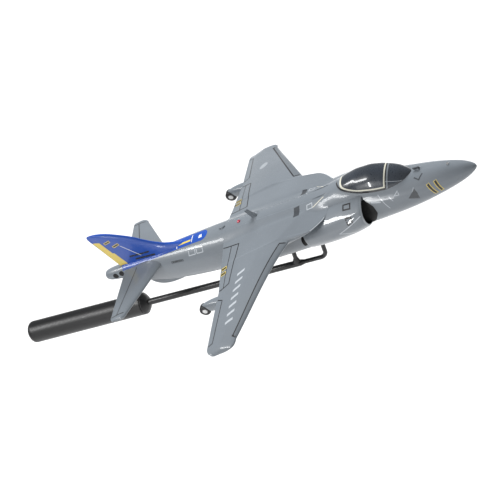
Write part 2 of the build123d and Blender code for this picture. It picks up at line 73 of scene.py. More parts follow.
# ---- camera ---------------------------------------------------------------
def place_camera(az, el, roll, where, lens):
    """Camera at a place in metres, looking back along an azimuth and elevation, then rolled."""
    a, e, r = (math.radians(v) for v in (az, el, roll))
    back = Vector((math.sin(a) * math.cos(e), -math.cos(a) * math.cos(e), math.sin(e)))
    right = (-back).cross(Vector((0, 0, 1))).normalized()
    up = right.cross(-back)
    turned_right = right * math.cos(r) + up * math.sin(r)
    turned_up = -right * math.sin(r) + up * math.cos(r)
    cam = bpy.data.objects.new("camera", bpy.data.cameras.new("camera"))
    bpy.context.collection.objects.link(cam)
    cam.data.sensor_width = 36
    cam.data.lens = lens
    cam.data.clip_start = 0.05
    cam.data.clip_end = 50
    basis = Matrix((turned_right, turned_up, back)).transposed().to_4x4()
    basis.translation = Vector(where)
    cam.matrix_world = basis
    bpy.context.scene.camera = cam


place_camera(az=34.757, el=34.270, roll=-38.626, where=(1.4382, -1.8642, 1.5618), lens=283.4)


# ---- curves and meshes ----------------------------------------------------
def steady_curve(keys, values):
    """Smooth curve through a table that never overshoots between its points."""
    x, v = np.asarray(keys, float), np.asarray(values, float)
    h, d = np.diff(x), np.diff(v) / np.diff(x)
    m = np.zeros_like(v)
    for i in range(1, len(x) - 1):
        if d[i - 1] * d[i] > 0:
            w1, w2 = 2 * h[i] + h[i - 1], h[i] + 2 * h[i - 1]
            m[i] = (w1 + w2) / (w1 / d[i - 1] + w2 / d[i])
    m[0], m[-1] = d[0], d[-1]

    def read(q):
        q = np.clip(np.asarray(q, float), x[0], x[-1])
        i = np.clip(np.searchsorted(x, q) - 1, 0, len(h) - 1)
        t = (q - x[i]) / h[i]
        return ((1 + 2 * t) * (1 - t) ** 2 * v[i] + t * (1 - t) ** 2 * h[i] * m[i]
                + t * t * (3 - 2 * t) * v[i + 1] + t * t * (t - 1) * h[i] * m[i + 1])

    return read


def columns(table):
    """One smooth curve for each column after the first."""
    t = np.asarray(table, float)
    return [steady_curve(t[:, 0], t[:, i]) for i in range(1, t.shape[1])]


def signed_power(v, p):
    """Power that keeps the sign, for squared-off ovals."""
    return np.sign(v) * np.abs(v) ** p


def skin(name, rows, wrap=True, cap_first=False, cap_last=False):
    """Smooth mesh over a grid of points given in row metres."""
    rows = np.asarray(rows, float)
    n, m = rows.shape[:2]
    verts = rows.reshape(-1, 3).tolist()
    faces = []
    for i in range(n - 1):
        for j in range(m if wrap else m - 1):
            k = (j + 1) % m
            faces.append((i * m + j, i * m + k, (i + 1) * m + k, (i + 1) * m + j))
    for row, wanted in ((0, cap_first), (n - 1, cap_last)):
        if wanted:
            centre = len(verts)
            verts.append(rows[row].mean(0).tolist())
            for j in range(m if wrap else m - 1):
                k = (j + 1) % m
                tri = (row * m + j, row * m + k, centre)
                faces.append(tri if row else tri[::-1])
    mesh = bpy.data.meshes.new(name)
    mesh.from_pydata(verts, [], faces)
    mesh.shade_smooth()
    obj = bpy.data.objects.new(name, mesh)
    bpy.context.collection.objects.link(obj)
    return obj


def outward(obj):
    """Turn all faces of a closed mesh to look outwards."""
    bm = bmesh.new()
    bm.from_mesh(obj.data)
    bmesh.ops.recalc_face_normals(bm, faces=bm.faces)
    bm.to_mesh(obj.data)
    bm.free()
    return obj


def paint_value(obj, name, values):
    """Store one number per vertex, for paint edges that follow the shape."""
    attribute = obj.data.attributes.new(name, "FLOAT", "POINT")
    attribute.data.foreach_set("value", np.asarray(values, np.float32).ravel())


def craft(obj, *nodes, slot):
    """Fix a piece to the aircraft, over the CAD nodes that it replaces."""
    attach(obj, AIRCRAFT)
    if nodes:
        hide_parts(*nodes)


# ---- fuselage -------------------------------------------------------------
# Station, half width, top, height of widest point, bottom, squareness of the belly.
HULL = [
    (0.0, 0.05, 1.55, 1.0, 0.5, 2.15), (0.6, 1.3, 2.3, 1.0, -0.3, 2.15), (4, 3.7, 4.9, 1.1, -2.6, 2.15),
    (10, 6.3, 7.6, 1.3, -5.0, 2.15), (20, 9.0, 10.3, 1.4, -7.5, 2.15), (32, 11.6, 12.4, 1.5, -9.6, 2.15),
    (44, 13.8, 13.6, 1.6, -11.2, 2.15), (60, 15.4, 16.5, 1.6, -12.6, 2.15),
    (78, 15.8, 20.5, 2.0, -14.0, 2.15), (95, 16.0, 22.5, 3.0, -15.0, 2.2),
    (112, 15.5, 20.0, 3.0, -16.6, 2.5), (135, 15.5, 18.2, 2.5, -18.6, 3.0),
    (165, 15.5, 17.2, 2.0, -18.8, 3.0), (195, 14.8, 16.2, 2.0, -16.9, 2.4),
    (220, 13.0, 15.0, 2.0, -15.8, 2.15), (245, 10.4, 13.5, 2.5, -13.6, 2.15),
    (268, 6.6, 11.8, 4.5, -8.5, 2.15), (284, 4.9, 11.0, 5.8, 0.2, 2.15), (293, 4.3, 10.2, 6.0, 1.6, 2.15),
    (297, 3.2, 9.2, 6.0, 2.9, 2.15), (298.2, 2.0, 8.0, 6.0, 4.1, 2.15), (298.7, 0.1, 6.2, 6.0, 5.9, 2.15),
]
hull_w, hull_top, hull_mid, hull_low, hull_belly = columns(HULL)


def hull_ring(s, count=120):
    """Closed oval round the fuselage at one station."""
    a = np.linspace(0, 2 * np.pi, count, endpoint=False)
    power = np.where(np.sin(a) > 0, 2 / ROUNDNESS, 2 / hull_belly(s))
    c, d = signed_power(np.cos(a), power), signed_power(np.sin(a), power)
    w, top, mid, low = (f(s) for f in (hull_w, hull_top, hull_mid, hull_low))
    return np.stack([np.full(count, s), w * c, mid + np.where(d > 0, top - mid, mid - low) * d], -1)


def hull_depth(s, y, z):
    """Rough distance outside the hull, in millimetres; negative inside."""
    w, top, mid, low = (f(s) for f in (hull_w, hull_top, hull_mid, hull_low))
    rise = np.where(z > mid, top - mid, mid - low)
    r = (np.abs(y / w) ** ROUNDNESS + np.abs((z - mid) / rise) ** ROUNDNESS) ** (1 / ROUNDNESS)
    return (r - 1) * np.hypot(y, z - mid) / np.maximum(r, 1e-6)


hull_stations = np.concatenate([[0, 0.15, 0.4, 0.8, 1.4, 2.2, 3.2, 4.5, 6, 8], np.linspace(10, 292, 150),
                                [293.5, 295, 296.2, 297, 297.6, 298.1, 298.4, 298.6, 298.7]])
pieces = {}
hull = skin("fuselage_skin", to_row([hull_ring(s) for s in hull_stations]), cap_first=True, cap_last=True)
craft(outward(hull), "fuselage", slot="body_grey")
pieces["hull"] = hull

# ---- wings ----------------------------------------------------------------
WING_TIP = 99.0
ROOT = 4.0
ROOT_CURVE_END = 31.8   # y where the curved root extension becomes the straight leading edge
LEAD_IN = (31.0, 136.2)     # y and station of the inner end of the straight leading edge
LEAD_OUT = (92.0, 178.0)
LEAD_SWEEP = (LEAD_OUT[1] - LEAD_IN[1]) / (LEAD_OUT[0] - LEAD_IN[0])
LEAD_BREAK = 92.5       # y where the leading edge turns towards the tip
BREAK_SWEEP = 0.3
TIP_LEAD = (94.4, 4.4)      # y where the leading corner starts to round, and how far back it runs
TIP_TRAIL = (92.0, 9.0)     # the same for the trailing corner, which runs forward
TIP_CROWD = 6.5         # the sections crowd together over this much of the span
TIP_ROUND = 2.6         # and over this much the thickness rounds off
HULL_BLEND_END = 15     # y out to which the wing runs up into the fuselage shoulder
COWL_BLEND_END = 26     # and into the cowl top
COWL_BLEND_BACK = 129
HULL_FILLET = 2.4
COWL_FILLET = 1.2
PROUD = 0.05            # the wing skin stands this far over the shoulder and the cowl
LIP_AT = 80.9           # station of the intake lip at height LIP_HEIGHT
LIP_HEIGHT = 14
LIP_RAKE = 0.155        # the lower lip lies further aft
COWL_BACK = 131.0
COWL_INNER = 6          # y of the edge that is buried in the fuselage
# Station, outer y, top, bottom, height of widest point.
COWL = [
    (70, 21.0, 14.0, -6.0, 5.5), (78, 23.6, 15.6, -8.2, 5.2), (84, 25.4, 16.4, -10.0, 4.5),
    (95, 26.7, 16.3, -11.6, 3.5), (108, 26.9, 15.0, -12.4, 2.5), (120, 26.2, 13.2, -12.7, 1.5),
    (132, 24.8, 11.5, -12.5, 0.5),
]
cowl_out, cowl_top, cowl_low, cowl_mid = columns(COWL)
lead_x = steady_curve([4, 12.2, 17.5, 21, 24, 26.8, 28.9, 30.1, 31, 31.8],
                      [105.4, 107.0, 109.0, 111.6, 114.7, 118.0, 121.8, 128.0, 134.4, 136.8])


def round_end(y, start, end):
    """0 before start, rising along a quarter circle to 1 at the end."""
    t = np.clip((y - start) / (end - start), 0, 0.99999)
    return 1 - np.sqrt(1 - t ** 2)


def wing_lead(y):
    """Station of the leading edge."""
    along = np.minimum(y, LEAD_BREAK) - LEAD_IN[0]
    straight = LEAD_IN[1] + along * LEAD_SWEEP + np.maximum(y - LEAD_BREAK, 0) * BREAK_SWEEP
    edge = np.where(y < ROOT_CURVE_END, lead_x(np.minimum(y, ROOT_CURVE_END)), straight)
    start, back = TIP_LEAD
    return edge + back * round_end(y, start, WING_TIP)


def wing_trail(y):
    """Station of the trailing edge."""
    start, forward = TIP_TRAIL
    edge = np.interp(y, [4, 22, 52, 93, 99], [194, 194.3, 195.8, 204.2, 205.4])
    return edge - forward * round_end(y, start, WING_TIP)


wing_lead_z = steady_curve([4, 12.2, 17.5, 31, 92.5, 99], [14.0, 13.2, 12.6, 12.3, -4.6, -6.6])
wing_trail_z = steady_curve([4, 12, 22, 50.6, 95, 99], [12.0, 11.6, 9.7, 3.5, -8.4, -9.5])
wing_thick = steady_curve([4, 6, 9, 12, 17.5, 22, 31, 92, 99],
                          [0.8, 2.4, 5.4, 7.2, 8.2, 8.4, 7.8, 5.0, 4.6])
FOIL_X = 0.5 * (1 - np.cos(np.linspace(0, np.pi, 56)))      # points crowd towards both ends


def foil(lead, trail, lead_z, trail_z, thick, blunt, wedge=0.0):
    """Closed section from trailing edge over the top to the nose and back underneath;
    wedge from 0 to 1 sharpens the nose."""
    x = FOIL_X
    curve = 0.2969 * np.sqrt(x) - 0.126 * x - 0.3516 * x ** 2 + 0.2843 * x ** 3 - 0.1015 * x ** 4
    half = 5 * thick * curve
    sharp = np.minimum(half, 0.35 * np.minimum(1, x * 60) + 0.15 * (trail - lead) * x)
    half = half + (sharp - half) * wedge
    half = np.maximum(half, blunt / 2 * np.minimum(1, np.sqrt(np.maximum(x, 0)) * 4))
    edge = np.clip((1 - x) / 0.006, 0, 1)
    half = half * np.sqrt(1 - (1 - edge) ** 2)
    base = lead_z + (trail_z - lead_z) * x
    up = np.stack([lead + (trail - lead) * x, base + half], -1)
    low = np.stack([lead + (trail - lead) * x, base - half], -1)
    return np.concatenate([up[::-1], low[1:-1]])


def soft_max(a, b, reach):
    """The higher of two heights, with a fillet where they cross."""
    h = np.clip(1 - np.abs(a - b) / reach, 0, 1)
    return np.maximum(a, b) + h * h * reach / 4


def hull_roof(s, y):
    """Height of the fuselage's upper surface."""
    w, top, mid = (f(s) for f in (hull_w, hull_top, hull_mid))
    return mid + (top - mid) * np.maximum(1 - (y / w) ** ROUNDNESS, 0) ** (1 / ROUNDNESS)


def cowl_roof(s, y):
    """Height of the cowl's upper surface."""
    out, top, mid = (f(np.minimum(s, COWL_BACK)) for f in (cowl_out, cowl_top, cowl_mid))
    side = np.clip((y - COWL_INNER) / (out - COWL_INNER), 0, 1)
    return mid + (top - mid) * np.maximum(1 - side ** ROUNDNESS, 0) ** (1 / ROUNDNESS)


def wing_skin(side):
    """Wing panel whose upper surface runs up into the fuselage shoulder and the cowl top."""
    ys = np.concatenate([np.linspace(ROOT, 30, 66), np.linspace(30.3, 33, 12), np.linspace(34, 92, 58),
                         WING_TIP - TIP_CROWD * np.cos(np.linspace(0.1, np.pi / 2 - 0.02, 30))])
    rows = []
    for y in np.unique(np.round(ys, 4)):
        end = math.sqrt(max(1e-4, 1 - max(0.0, (y - (WING_TIP - TIP_ROUND)) / TIP_ROUND) ** 2))
        wedge = float(np.clip((34 - y) / 6, 0.5, 1))
        sec = foil(float(wing_lead(y)), float(wing_trail(y)), float(wing_lead_z(y)),
                   float(wing_trail_z(y)), float(wing_thick(y)) * end, 0.9 * end, wedge)
        upper = np.arange(len(sec)) < len(FOIL_X)
        s, z = sec[:, 0], sec[:, 1].copy()
        if y < HULL_BLEND_END:
            z = np.where(upper, soft_max(z, hull_roof(s, y) + PROUD, HULL_FILLET), z)
        if y < COWL_BLEND_END:
            ahead = upper & (s < COWL_BLEND_BACK)
            z = np.where(ahead, soft_max(z, cowl_roof(s, y) + PROUD, COWL_FILLET), z)
        rows.append(np.stack([s, np.full(len(sec), side * y), z], -1))
    return to_row(rows)


for side, word in SIDES:
    wing = skin(f"wing_{word}_skin", wing_skin(side), cap_last=True, cap_first=True)
    craft(outward(wing), f"wing_{word}", slot="wing_grey")
    pieces[f"wing_{word}"] = wing

# ---- intake cowls ---------------------------------------------------------


def cowl_row(s, inset, side, rake, count=56):
    """Open half ring round the side of the fuselage; inset shrinks it inwards."""
    a = np.linspace(-np.pi / 2, np.pi / 2, count)
    c = np.abs(np.cos(a)) ** (2 / ROUNDNESS)
    d = signed_power(np.sin(a), 2 / ROUNDNESS)
    out, top, low, mid = (float(f(s)) for f in (cowl_out, cowl_top, cowl_low, cowl_mid))
    y = COWL_INNER + (out - COWL_INNER - inset) * c
    z = mid + np.where(d > 0, top - mid - inset, mid - low - inset) * d
    x = s + rake * (LIP_HEIGHT - z) * LIP_RAKE
    return np.stack([x, side * y, z], -1)


def lip_rake(s):
    """The lip's slant fades out towards the back of the cowl."""
    return max(0.0, 1 - (s - LIP_AT) / (COWL_BACK - LIP_AT))


# Distance behind the lip and inset: from the throat forward, round the lip and out to the skin.
LIP_ROLL = [(15, 3.0), (11, 2.7), (7, 2.4), (4, 2.0), (2, 1.6), (1.0, 1.3), (0.45, 1.05), (0.12, 0.8),
            (0.0, 0.55), (0.12, 0.3), (0.45, 0.12), (1.0, 0.0)]
# Distance ahead of the back face and inset: over the rear edge and in across the face.
BACK_ROLL = [(0.3, 0.06), (0.1, 0.22), (0.0, 0.5), (0.0, 1.2), (0.0, 4), (0.0, 9)]


def cowl_skin(side):
    """Cowl from the throat over the lip to its back face."""
    rows = []
    for back, inset in LIP_ROLL:
        rows.append(cowl_row(LIP_AT + back, inset, side, lip_rake(LIP_AT + back)))
    for s in np.linspace(LIP_AT + 2.5, COWL_BACK - 0.6, 44):
        rows.append(cowl_row(s, 0, side, lip_rake(s)))
    for ahead, inset in BACK_ROLL:
        rows.append(cowl_row(COWL_BACK - ahead, inset, side, 0))
    return to_row(rows)


for side, word in SIDES:
    cowl = skin(f"intake_cowl_{word}_skin", cowl_skin(side), wrap=False)
    craft(cowl, f"intake_cowl_{word}", slot="body_grey")
    pieces[f"cowl_{word}"] = cowl

# ---- canopy ---------------------------------------------------------------
BOW_AT = 64.8           # station of the bow's back edge at height BOW_HEIGHT
BOW_HEIGHT = 9.7
BOW_RAKE = 0.457        # it leans forward by this much per millimetre of height
GLASS_BACK = 94.6
# Station, half width, height of the sill, top.
CANOPY = [
    (43.6, 0.5, 12.2, 13.4), (44.6, 2.4, 12.2, 14.3), (47, 4.8, 12.2, 16.2), (52, 8.0, 12.0, 20.0),
    (58, 9.9, 11.8, 23.2), (64, 10.9, 12.0, 25.6), (72, 11.2, 13.2, 27.4), (80, 10.8, 15.2, 27.3),
    (88, 9.4, 18.0, 25.9), (94, 7.0, 20.2, 24.4), (97.4, 3.4, 21.3, 23.4), (98.4, 0.6, 21.6, 22.8),
]
can_w, can_sill, can_top = columns(CANOPY)


def canopy_row(s, count=90):
    """Open arch that runs a little way down into the fuselage."""
    a = np.linspace(-0.35, np.pi + 0.35, count)
    c, d = signed_power(np.cos(a), 2 / ROUNDNESS), signed_power(np.sin(a), 2 / ROUNDNESS)
    w, sill, top = (float(f(s)) for f in (can_w, can_sill, can_top))
    z = sill + np.where(d > 0, top - sill, 8) * d
    return np.stack([np.full(count, s), w * c, z], -1)


can_stations = np.concatenate([[43.6, 44, 44.6, 45.4], np.linspace(46.4, 96.5, 110),
                               [97, 97.4, 97.9, 98.4]])
can_rows = np.array([canopy_row(s) for s in can_stations])
canopy = skin("canopy_skin", to_row(can_rows), wrap=False)
craft(outward(canopy), "canopy_hood", "windscreen", "canopy_bow", slot="canopy_gloss")
pieces["canopy"] = canopy
flat = can_rows.reshape(-1, 3)
paint_value(canopy, "edge", hull_depth(flat[:, 0], flat[:, 1], flat[:, 2]))
paint_value(canopy, "bow", flat[:, 0] - (BOW_AT - BOW_RAKE * (flat[:, 2] - BOW_HEIGHT)))
paint_value(canopy, "rear", (GLASS_BACK - flat[:, 0]) * 0.5)

# ---- fin and stabilators --------------------------------------------------
FIN_TIP = 44.6
FIN_CROWD = 4.6         # height below the tip over which the sections crowd together
FIN_ROUND = 4.0         # and over which the thickness rounds off
fin_lead = steady_curve([6, 13.5, 15.5, 17.5, 20, 23, 27, 32, 37.5, 41.2, 43.2, 44.3, 44.6],
                        [214, 224, 232, 239.5, 244.6, 249.2, 254.2, 260, 268.5, 275.5, 281, 286, 288.6])


def fin_skin():
    """Fin with its long dorsal fillet, in level sections."""
    rows = []
    heights = [np.linspace(8, 40, 60), FIN_TIP - FIN_CROWD * np.cos(np.linspace(0.05, 1.55, 16))]
    for z in np.concatenate(heights):
        tip = min(1.0, max(0.0, (z - FIN_TIP + FIN_ROUND) / FIN_ROUND))
        end = math.sqrt(max(1e-4, 1 - tip ** 2))
        trail = 282.5 + (z - 6) * 9.1 / 35 - (1 - end) * 2.4
        # Thinner upwards, and the last term thickens the foot into the spine.
        thick = 5.4 - (z - 8) * 0.065 + 2.2 * math.exp(-max(0, z - 12) / 3)
        sec = foil(float(fin_lead(z)), trail, 0, 0, thick * end, 0.8 * end)
        rows.append(np.stack([sec[:, 0], sec[:, 1], np.full(len(sec), z)], -1))
    return to_row(rows)


fin = skin("fin_skin", fin_skin(), cap_first=True, cap_last=True)
craft(outward(fin), "fin", slot="fin_blue")
pieces["fin"] = fin

STAB_TIP = 48.6
STAB_CROWD = 5.4
STAB_ROUND = 1.6


def stab_skin(side):
    """Stabilator in sections along the span."""
    rows = []
    ys = [np.linspace(2.5, 43, 40), STAB_TIP - STAB_CROWD * np.cos(np.linspace(0.1, 1.54, 20))]
    for y in np.concatenate(ys):
        end = math.sqrt(max(1e-4, 1 - max(0.0, (y - 47.0) / STAB_ROUND) ** 2))
        lead = np.interp(y, [3, 44.5, 50], [245.4, 272.8, 274.5]) + 4.6 * round_end(y, 44.6, STAB_TIP)
        trail = np.interp(y, [3, 46, 50], [280.3, 286.0, 286.6]) - 3.0 * round_end(y, 45.4, STAB_TIP)
        height = np.interp(y, [3, 46, 50], [8.4, 4.4, 4.0])
        thick = np.interp(y, [3, 46], [4.8, 2.9]) + 1.2 * math.exp(-max(0, y - 5) / 2.2)
        sec = foil(lead, trail, height, height, thick * end, 0.8 * end)
        rows.append(np.stack([sec[:, 0], np.full(len(sec), side * y), sec[:, 1]], -1))
    return to_row(rows)


for side, word in SIDES:
    stab = skin(f"stabilator_{word}_skin", stab_skin(side), cap_first=True, cap_last=True)
    craft(outward(stab), f"stabilator_{word}", slot="wing_grey")
    pieces[f"stab_{word}"] = stab

# ---- outrigger pods -------------------------------------------------------
POD_Y = 55.6
POD_ROUNDNESS = 2.3
WHEEL_AT = (209.8, -3.4)    # station and height of the axle
# Station, half width, top, height of widest point, bottom.
POD = [(176, 0.6, 2.6, 2.2, 1.6), (180, 1.8, 2.8, 1.6, -0.6), (186, 3.0, 2.9, 0.8, -3.4),
       (192, 3.5, 2.7, 0.2, -5.0), (198, 3.7, 2.7, -0.4, -5.9), (204, 3.1, 2.3, -1.0, -6.2),
       (208.5, 2.2, 1.4, -1.5, -5.8), (211.4, 1.7, 0.2, -2.0, -5.0), (213.0, 1.0, -1.0, -2.4, -4.0),
       (213.6, 0.1, -2.3, -2.5, -2.8)]
pod_w, pod_top, pod_mid, pod_low = columns(POD)


def pod_row(s, side, count=48):
    """Closed oval round one pod."""
    a = np.linspace(0, 2 * np.pi, count, endpoint=False)
    c, d = signed_power(np.cos(a), 2 / POD_ROUNDNESS), signed_power(np.sin(a), 2 / POD_ROUNDNESS)
    w, top, mid, low = (float(f(s)) for f in (pod_w, pod_top, pod_mid, pod_low))
    return np.stack([np.full(count, s), side * POD_Y + w * c,
                     mid + np.where(d > 0, top - mid, mid - low) * d], -1)


pod_stations = np.concatenate([np.linspace(176, 211, 50),
                               [211.6, 212.3, 212.8, 213.1, 213.3, 213.45, 213.55, 213.6]])
for side, word in SIDES:
    rows = [pod_row(s, side) for s in pod_stations]
    pod = skin(f"outrigger_pod_{word}_skin", to_row(rows), cap_first=True, cap_last=True)
    craft(outward(pod), f"outrigger_pod_{word}", slot="body_grey")

# ---- turned pieces --------------------------------------------------------


def turned(name, profile, origin, axis, count=64):
    """Solid of revolution: profile is (along, radius) in millimetres, origin in row millimetres."""
    axis = Vector(axis).normalized()
    side_a = axis.orthogonal().normalized()
    side_b = axis.cross(side_a)
    rows = []
    for along, radius in profile:
        ring = []
        for i in range(count):
            t = 2 * math.pi * i / count
            spoke = side_a * math.cos(t) + side_b * math.sin(t)
            p = Vector(origin) + axis * along + spoke * max(radius, 0.002)
            ring.append(tuple(p * MM))
        rows.append(ring)
    return outward(skin(name, rows, cap_first=True, cap_last=True))


# Distance along the axis and radius.
TYRE = [(-2.6, 1.8), (-2.6, 3.3), (-2.3, 3.8), (-1.6, 4.1), (0, 4.2), (1.6, 4.1), (2.3, 3.8), (2.6, 3.3),
        (2.6, 1.8)]
HUB = [(-2.85, 0.0), (-2.85, 1.0), (-2.7, 1.7), (-2.4, 2.0), (2.4, 2.0), (2.7, 1.7), (2.85, 1.0),
       (2.85, 0.0)]
for side, word in SIDES:
    axle = (NOSE_X - WHEEL_AT[0], side * POD_Y, DATUM_Z + WHEEL_AT[1])
    tyre = turned(f"outrigger_tyre_{word}", TYRE, axle, (0, 1, 0))
    craft(tyre, f"outrigger_wheel_{word}", slot="wheel_black")
    hub = turned(f"outrigger_hub_{word}", HUB, axle, (0, 1, 0))
    craft(hub, slot="wheel_black")

# Wooden dowels inside the wing roots, slim enough to stay under the wing skin.
DOWEL = [(0, 1.2), (0.3, 1.5), (31.6, 1.5), (31.9, 1.2)]
for side, word in SIDES:
    inner = (NOSE_X - 160, side * 6, DATUM_Z + 11.0)
    dowel = turned(f"wing_dowel_{word}_turned", DOWEL, inner, (0, side * 32, -1.4), count=32)
    craft(dowel, f"wing_dowel_{word}", slot="bare_wood")

# Near-black lining of each intake, closed by a wall across its throat: black paint with painted shade of
# the deep duct.
LINING = [(1.2, 1.5), (2, 1.75), (4, 2.15), (7, 2.55), (11, 2.85), (14, 3.1), (14, 5.5), (14, 9.0),
          (14, 14.0)]
for side, word in SIDES:
    lining = [cowl_row(LIP_AT + back, inset, side, lip_rake(LIP_AT + back)) for back, inset in LINING]
    wall = skin(f"intake_wall_{word}", to_row(lining), wrap=False)
    craft(wall, slot="nozzle_black")

# Thin pale line round each intake lip: a painted highlight along the rolled edge.
LIP_HIGHLIGHT = [(-0.02, 0.72), (-0.05, 0.55), (0.03, 0.28), (0.35, 0.06), (0.8, -0.05)]
for side, word in SIDES:
    ring = [cowl_row(LIP_AT + back, inset, side, lip_rake(LIP_AT)) for back, inset in LIP_HIGHLIGHT]
    craft(skin(f"lip_line_{word}", to_row(ring), wrap=False), slot="body_grey")

# ---- painted markings -----------------------------------------------------
# Each mark is a skin of paint laid on the surface: the outline is given from above
# (station, y) or from the side (station, height) and dropped onto the shape.
PAINT_LIFT = 0.03       # height of the first layer of paint above the surface
OVER_LIFT = 0.06        # height of a second layer
BAND_LIFT = 0.07        # height of the marks on the blue band
FAR = 100               # starting distance of the rays, outside the model
JUMP = 6                # a face with a longer side has jumped from one piece to another


def surface_of(*names):
    """One search tree over some of the pieces."""
    verts, faces = [], []
    for name in names:
        mesh = pieces[name].data
        base = len(verts)
        verts += [v.co.copy() for v in mesh.vertices]
        faces += [[base + i for i in p.vertices] for p in mesh.polygons]
    return BVHTree.FromPolygons(verts, faces)


on_body = surface_of("hull", "wing_right", "wing_left", "cowl_right", "cowl_left")
on_fin = surface_of("fin")
on_hull = surface_of("hull")
on_tail = surface_of("stab_right", "stab_left")
on_canopy = surface_of("canopy")
paints = {}


def drop(p, view, tree, lift):
    """Lay one outline point on the surface, or give None where there is nothing under it."""
    if view == "top":
        start, way = Vector((NOSE_X - p[0], p[1], FAR)) * MM, Vector((0, 0, -1))
    else:
        side = -1 if view == "right" else 1
        start = Vector((NOSE_X - p[0], side * FAR, DATUM_Z + p[1])) * MM
        way = Vector((0, -side, 0))
    where, normal, _, _ = tree.ray_cast(start, way)
    if where is None:
        return None
    if normal.dot(way) > 0:
        normal = -normal
    return where + normal * lift * MM


def lay(colour, grid, view, tree, lift):
    """Add a grid of outline points to one colour's paint layer."""
    verts, faces = paints.setdefault(colour, ([], []))
    index = {}
    for i, row in enumerate(grid):
        for j, p in enumerate(row):
            where = drop(p, view, tree, lift)
            if where is not None:
                index[i, j] = len(verts)
                verts.append(where)
    for i in range(len(grid) - 1):
        for j in range(len(grid[0]) - 1):
            corners = [(i, j), (i, j + 1), (i + 1, j + 1), (i + 1, j)]
            if all(c in index for c in corners):
                quad = [index[c] for c in corners]
                spots = [verts[q] for q in quad]
                if max((spots[k] - spots[k - 1]).length for k in range(4)) < JUMP * MM:
                    faces.append(quad)


def line(colour, points, width, view="top", tree=None, lift=PAINT_LIFT, step=0.9):
    """A painted line of even width through a few points."""
    tree = tree or on_body
    for a, b in zip(points, points[1:]):
        a, b = np.array(a, float), np.array(b, float)
        length = np.hypot(*(b - a))
        across = np.array([-(b - a)[1], (b - a)[0]]) / length * width / 2
        a, b = a - (b - a) / length * width * 0.45, b + (b - a) / length * width * 0.45
        n = max(2, int(length / step) + 1)
        grid = [[a + (b - a) * t - across, a + (b - a) * t + across] for t in np.linspace(0, 1, n)]
        lay(colour, grid, view, tree, lift)


def block(colour, corners, view="top", tree=None, lift=PAINT_LIFT, step=1.0):
    """A filled four-cornered patch."""
    tree = tree or on_body
    c = [np.array(p, float) for p in corners]
    n = max(2, int(np.hypot(*(c[1] - c[0])) / step) + 2)
    m = max(2, int(np.hypot(*(c[3] - c[0])) / step) + 2)
    grid = [[(1 - u) * ((1 - t) * c[0] + t * c[1]) + u * ((1 - t) * c[3] + t * c[2])
             for u in np.linspace(0, 1, m)] for t in np.linspace(0, 1, n)]
    lay(colour, grid, view, tree, lift)


def disc(colour, centre, radius, view="top", tree=None, lift=PAINT_LIFT):
    """A filled round mark."""
    tree = tree or on_body
    grid = [[(centre[0] + radius * k * math.cos(t), centre[1] + radius * k * math.sin(t))
             for k in (0.02, 0.35, 0.7, 1.0)] for t in np.linspace(0, 2 * math.pi, 33)]
    lay(colour, grid, view, tree, lift)


def outline(colour, corners, width, **where):
    """A closed frame."""
    line(colour, list(corners) + [corners[0]], width, **where)


def edged_bar(a, b, width, **where):
    """Black bar with a yellow edge."""
    line("yellow", [a, b], width + 0.9, **where)
    line("black", [a, b], width, lift=OVER_LIFT, **where)


# Control surface and panel lines, the same on both wings and both stabilators.
for side in (-1, 1):
    strip = [(138.6, side * 33.1), (143.4, side * 32.5), (180.8, side * 91.0), (178.6, side * 92.2)]
    block("strip", strip)
    flap = [(194.2, side * 16.6), (180.0, side * 17.9), (186.0, side * 48.8), (195.6, side * 51.0)]
    line("black", flap, 0.7, lift=0.05)
    line("black", [(186.6, side * 17.6), (191.3, side * 49.8)], 0.55)
    aileron = [(196.6, side * 57.2), (191.5, side * 59.6), (199.0, side * 90.0), (203.6, side * 91.0)]
    line("black", aileron, 0.7)
    line("black", [(137.9, side * 33.2), (143.4, side * 32.5), (180.8, side * 91.0)], 0.85, lift=0.05)
    line("black", [(180.8, side * 91.0), (178.0, side * 92.4)], 1.3, lift=0.05)
    # Pale line just behind the curved root leading edge: a painted highlight along the edge.
    root_edge_highlight = [(float(wing_lead(y)) + 0.5, side * y) for y in (19, 21, 23, 25, 27, 28.6, 29.8, 31)]
    line("pale", root_edge_highlight, 0.5)
    line("black", [(275.0, side * 44.4), (286.0, side * 45.2)], 0.6, tree=on_tail)
    line("black", [(269.2, side * 6.5), (280.8, side * 44.8)], 0.6, tree=on_tail)
    hatch = [(89.2, side * 15.6), (94.6, side * 15.4), (94.8, side * 19.0), (89.4, side * 19.3)]
    outline("black", hatch, 1.0)

# Small marks on top of the shoulders, and a forked one on the right of the nose.
block("dark", [(129.8, -4.8), (134.4, -5.4), (134.4, -13.4), (129.8, -12.8)])
outline("pale", [(119.4, -6.4), (123.6, -6.8), (123.6, -10.0), (119.4, -9.6)], 0.6)
line("cream", [(119.2, -9.6), (109.6, -5.6)], 0.5)
line("dark", [(41.5, -6.5), (38.5, -8.2), (35.7, -4.6)], 0.8, tree=on_hull)
block("dark", [(127.0, 5.2), (131.0, 5.6), (131.0, 12.0), (127.0, 11.6)])
outline("pale", [(120.8, 7.8), (125.0, 8.0), (125.0, 11.0), (120.8, 10.8)], 0.6)
line("cream", [(119.8, 12.0), (111.3, 4.8)], 0.5)

